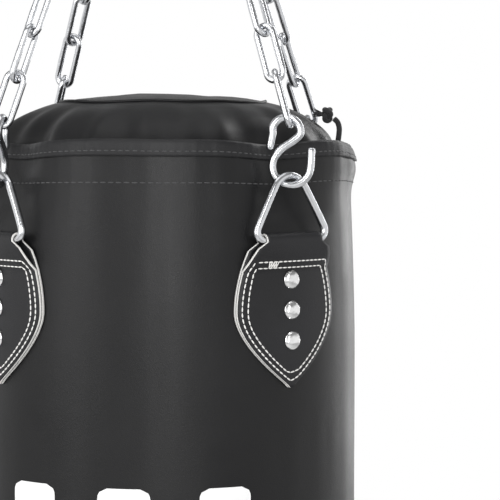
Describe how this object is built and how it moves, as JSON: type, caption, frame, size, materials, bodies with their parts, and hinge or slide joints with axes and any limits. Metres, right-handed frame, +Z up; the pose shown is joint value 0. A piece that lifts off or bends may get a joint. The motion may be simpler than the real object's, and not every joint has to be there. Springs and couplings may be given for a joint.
{
  "type": "hanging heavy bag",
  "caption": "Cylindrical leather heavy bag hung on chain legs from a swivel, with S-hooks, triangle rings and riveted shield-shaped straps.",
  "frame": {"origin": "where the inside of the hanger's eye rests on the hook that holds the bag up", "axes": "+Z up along the bag's axis; the straps are at -Y, +X, +Y and -X"},
  "size_m": [0.3646, 0.3646, 1.4415],
  "materials": {
    "swivel_steel": "zinc-plated forged steel, satin",
    "bearing_steel": "ground steel bearing",
    "zinc_wire": "bright zinc-plated round wire",
    "rivet_nickel": "nickel-plated, hammered domes",
    "bag_leather": "black synthetic leather, semi-gloss, fine grain",
    "binding_tape": "black synthetic leather tape, stitched",
    "strap_leather": "black synthetic leather, white cut edge and white thread",
    "rag_filling": "packed textile scraps",
    "cord_fibre": "black braided cord"
  },
  "bodies": {
    "hanger": {"swivel_housing": "swivel_steel", "thrust_bearing": "bearing_steel"},
    "clevis": {"swivel_clevis": "swivel_steel", "clevis_pin": "rivet_nickel"},
    "bag": {"hanger_plate": "swivel_steel", "shell": "bag_leather", "rim_binding": "binding_tape", "lid": "bag_leather", "filling": "rag_filling", "base_disc": "bag_leather", "draw_cord": "cord_fibre", "cord_knot": "cord_fibre", "front_strap": "strap_leather", "right_strap": "strap_leather", "back_strap": "strap_leather", "left_strap": "strap_leather", "front_rivet_row": "rivet_nickel", "right_rivet_row": "rivet_nickel", "back_rivet_row": "rivet_nickel", "left_rivet_row": "rivet_nickel"},
    "front_upper_chain": {"front_link_1": "zinc_wire", "front_link_2": "zinc_wire"},
    "front_middle_chain": {"front_link_3": "zinc_wire", "front_link_4": "zinc_wire", "front_link_5": "zinc_wire"},
    "front_lower_chain": {"front_link_6": "zinc_wire", "front_link_7": "zinc_wire", "front_link_8": "zinc_wire"},
    "front_hook": {"front_s_hook": "zinc_wire"},
    "front_ring": {"front_triangle_ring": "zinc_wire"},
    "right_upper_chain": {"right_link_1": "zinc_wire", "right_link_2": "zinc_wire"},
    "right_middle_chain": {"right_link_3": "zinc_wire", "right_link_4": "zinc_wire", "right_link_5": "zinc_wire"},
    "right_lower_chain": {"right_link_6": "zinc_wire", "right_link_7": "zinc_wire", "right_link_8": "zinc_wire"},
    "right_hook": {"right_s_hook": "zinc_wire"},
    "right_ring": {"right_triangle_ring": "zinc_wire"},
    "back_upper_chain": {"back_link_1": "zinc_wire", "back_link_2": "zinc_wire"},
    "back_middle_chain": {"back_link_3": "zinc_wire", "back_link_4": "zinc_wire", "back_link_5": "zinc_wire"},
    "back_lower_chain": {"back_link_6": "zinc_wire", "back_link_7": "zinc_wire", "back_link_8": "zinc_wire"},
    "back_hook": {"back_s_hook": "zinc_wire"},
    "back_ring": {"back_triangle_ring": "zinc_wire"},
    "left_upper_chain": {"left_link_1": "zinc_wire", "left_link_2": "zinc_wire"},
    "left_middle_chain": {"left_link_3": "zinc_wire", "left_link_4": "zinc_wire", "left_link_5": "zinc_wire"},
    "left_lower_chain": {"left_link_6": "zinc_wire", "left_link_7": "zinc_wire", "left_link_8": "zinc_wire"},
    "left_hook": {"left_s_hook": "zinc_wire"},
    "left_ring": {"left_triangle_ring": "zinc_wire"}
  },
  "joints": [
    {"name": "swivel_spin", "type": "hinge", "parent": "hanger", "child": "clevis", "pos_m": [0, 0, -0.05], "axis": [0, 0, 1], "continuous": true},
    {"name": "bag_swing", "type": "hinge", "parent": "clevis", "child": "bag", "pos_m": [0, 0, -0.10184], "axis": [0, 1, 0], "range_deg": [-40, 40]},
    {"name": "front_upper_chain_swing", "type": "hinge", "parent": "bag", "child": "front_upper_chain", "pos_m": [0, -0.04237, -0.12284], "axis": [-1, 0, 0], "range_deg": [0, 5.5]},
    {"name": "front_middle_chain_swing", "type": "hinge", "parent": "front_upper_chain", "child": "front_middle_chain", "pos_m": [0, -0.07214, -0.19385], "axis": [-1, 0, 0], "range_deg": [-5.6, 0]},
    {"name": "front_lower_chain_swing", "type": "hinge", "parent": "front_middle_chain", "child": "front_lower_chain", "pos_m": [0, -0.1189, -0.30534], "axis": [-1, 0, 0], "range_deg": [-4, 0]},
    {"name": "front_hook_swing", "type": "hinge", "parent": "front_lower_chain", "child": "front_hook", "pos_m": [0, -0.16555, -0.41661], "axis": [-1, 0, 0], "range_deg": [0, 4]},
    {"name": "front_ring_fold", "type": "hinge", "parent": "bag", "child": "front_ring", "pos_m": [0, -0.1693, -0.511], "axis": [1, 0, 0], "range_deg": [0, 1.75]},
    {"name": "right_upper_chain_swing", "type": "hinge", "parent": "bag", "child": "right_upper_chain", "pos_m": [0.04237, 0, -0.12284], "axis": [0, -1, 0], "range_deg": [0, 5.5]},
    {"name": "right_middle_chain_swing", "type": "hinge", "parent": "right_upper_chain", "child": "right_middle_chain", "pos_m": [0.07214, 0, -0.19385], "axis": [0, -1, 0], "range_deg": [-5.6, 0]},
    {"name": "right_lower_chain_swing", "type": "hinge", "parent": "right_middle_chain", "child": "right_lower_chain", "pos_m": [0.1189, 0, -0.30534], "axis": [0, -1, 0], "range_deg": [-4, 0]},
    {"name": "right_hook_swing", "type": "hinge", "parent": "right_lower_chain", "child": "right_hook", "pos_m": [0.16555, 0, -0.41661], "axis": [0, -1, 0], "range_deg": [0, 4]},
    {"name": "right_ring_fold", "type": "hinge", "parent": "bag", "child": "right_ring", "pos_m": [0.1693, 0, -0.511], "axis": [0, 1, 0], "range_deg": [0, 1.75]},
    {"name": "back_upper_chain_swing", "type": "hinge", "parent": "bag", "child": "back_upper_chain", "pos_m": [0, 0.04237, -0.12284], "axis": [1, 0, 0], "range_deg": [0, 5.5]},
    {"name": "back_middle_chain_swing", "type": "hinge", "parent": "back_upper_chain", "child": "back_middle_chain", "pos_m": [0, 0.07214, -0.19385], "axis": [1, 0, 0], "range_deg": [-5.6, 0]},
    {"name": "back_lower_chain_swing", "type": "hinge", "parent": "back_middle_chain", "child": "back_lower_chain", "pos_m": [0, 0.1189, -0.30534], "axis": [1, 0, 0], "range_deg": [-4, 0]},
    {"name": "back_hook_swing", "type": "hinge", "parent": "back_lower_chain", "child": "back_hook", "pos_m": [0, 0.16555, -0.41661], "axis": [1, 0, 0], "range_deg": [0, 4]},
    {"name": "back_ring_fold", "type": "hinge", "parent": "bag", "child": "back_ring", "pos_m": [0, 0.1693, -0.511], "axis": [-1, 0, 0], "range_deg": [0, 1.75]},
    {"name": "left_upper_chain_swing", "type": "hinge", "parent": "bag", "child": "left_upper_chain", "pos_m": [-0.04237, 0, -0.12284], "axis": [0, 1, 0], "range_deg": [0, 5.5]},
    {"name": "left_middle_chain_swing", "type": "hinge", "parent": "left_upper_chain", "child": "left_middle_chain", "pos_m": [-0.07214, 0, -0.19385], "axis": [0, 1, 0], "range_deg": [-5.6, 0]},
    {"name": "left_lower_chain_swing", "type": "hinge", "parent": "left_middle_chain", "child": "left_lower_chain", "pos_m": [-0.1189, 0, -0.30534], "axis": [0, 1, 0], "range_deg": [-4, 0]},
    {"name": "left_hook_swing", "type": "hinge", "parent": "left_lower_chain", "child": "left_hook", "pos_m": [-0.16555, 0, -0.41661], "axis": [0, 1, 0], "range_deg": [0, 4]},
    {"name": "left_ring_fold", "type": "hinge", "parent": "bag", "child": "left_ring", "pos_m": [-0.1693, 0, -0.511], "axis": [0, -1, 0], "range_deg": [0, 1.75]}
  ],
  "couplings": [
    {"joint": "front_middle_chain_swing", "follows": "front_upper_chain_swing", "ratio": -1},
    {"joint": "front_lower_chain_swing", "follows": "front_upper_chain_swing", "ratio": -0.6382},
    {"joint": "front_hook_swing", "follows": "front_upper_chain_swing", "ratio": 0.6382},
    {"joint": "right_middle_chain_swing", "follows": "right_upper_chain_swing", "ratio": -1},
    {"joint": "right_lower_chain_swing", "follows": "right_upper_chain_swing", "ratio": -0.6382},
    {"joint": "right_hook_swing", "follows": "right_upper_chain_swing", "ratio": 0.6382},
    {"joint": "back_middle_chain_swing", "follows": "back_upper_chain_swing", "ratio": -1},
    {"joint": "back_lower_chain_swing", "follows": "back_upper_chain_swing", "ratio": -0.6382},
    {"joint": "back_hook_swing", "follows": "back_upper_chain_swing", "ratio": 0.6382},
    {"joint": "left_middle_chain_swing", "follows": "left_upper_chain_swing", "ratio": -1},
    {"joint": "left_lower_chain_swing", "follows": "left_upper_chain_swing", "ratio": -0.6382},
    {"joint": "left_hook_swing", "follows": "left_upper_chain_swing", "ratio": 0.6382}
  ]
}
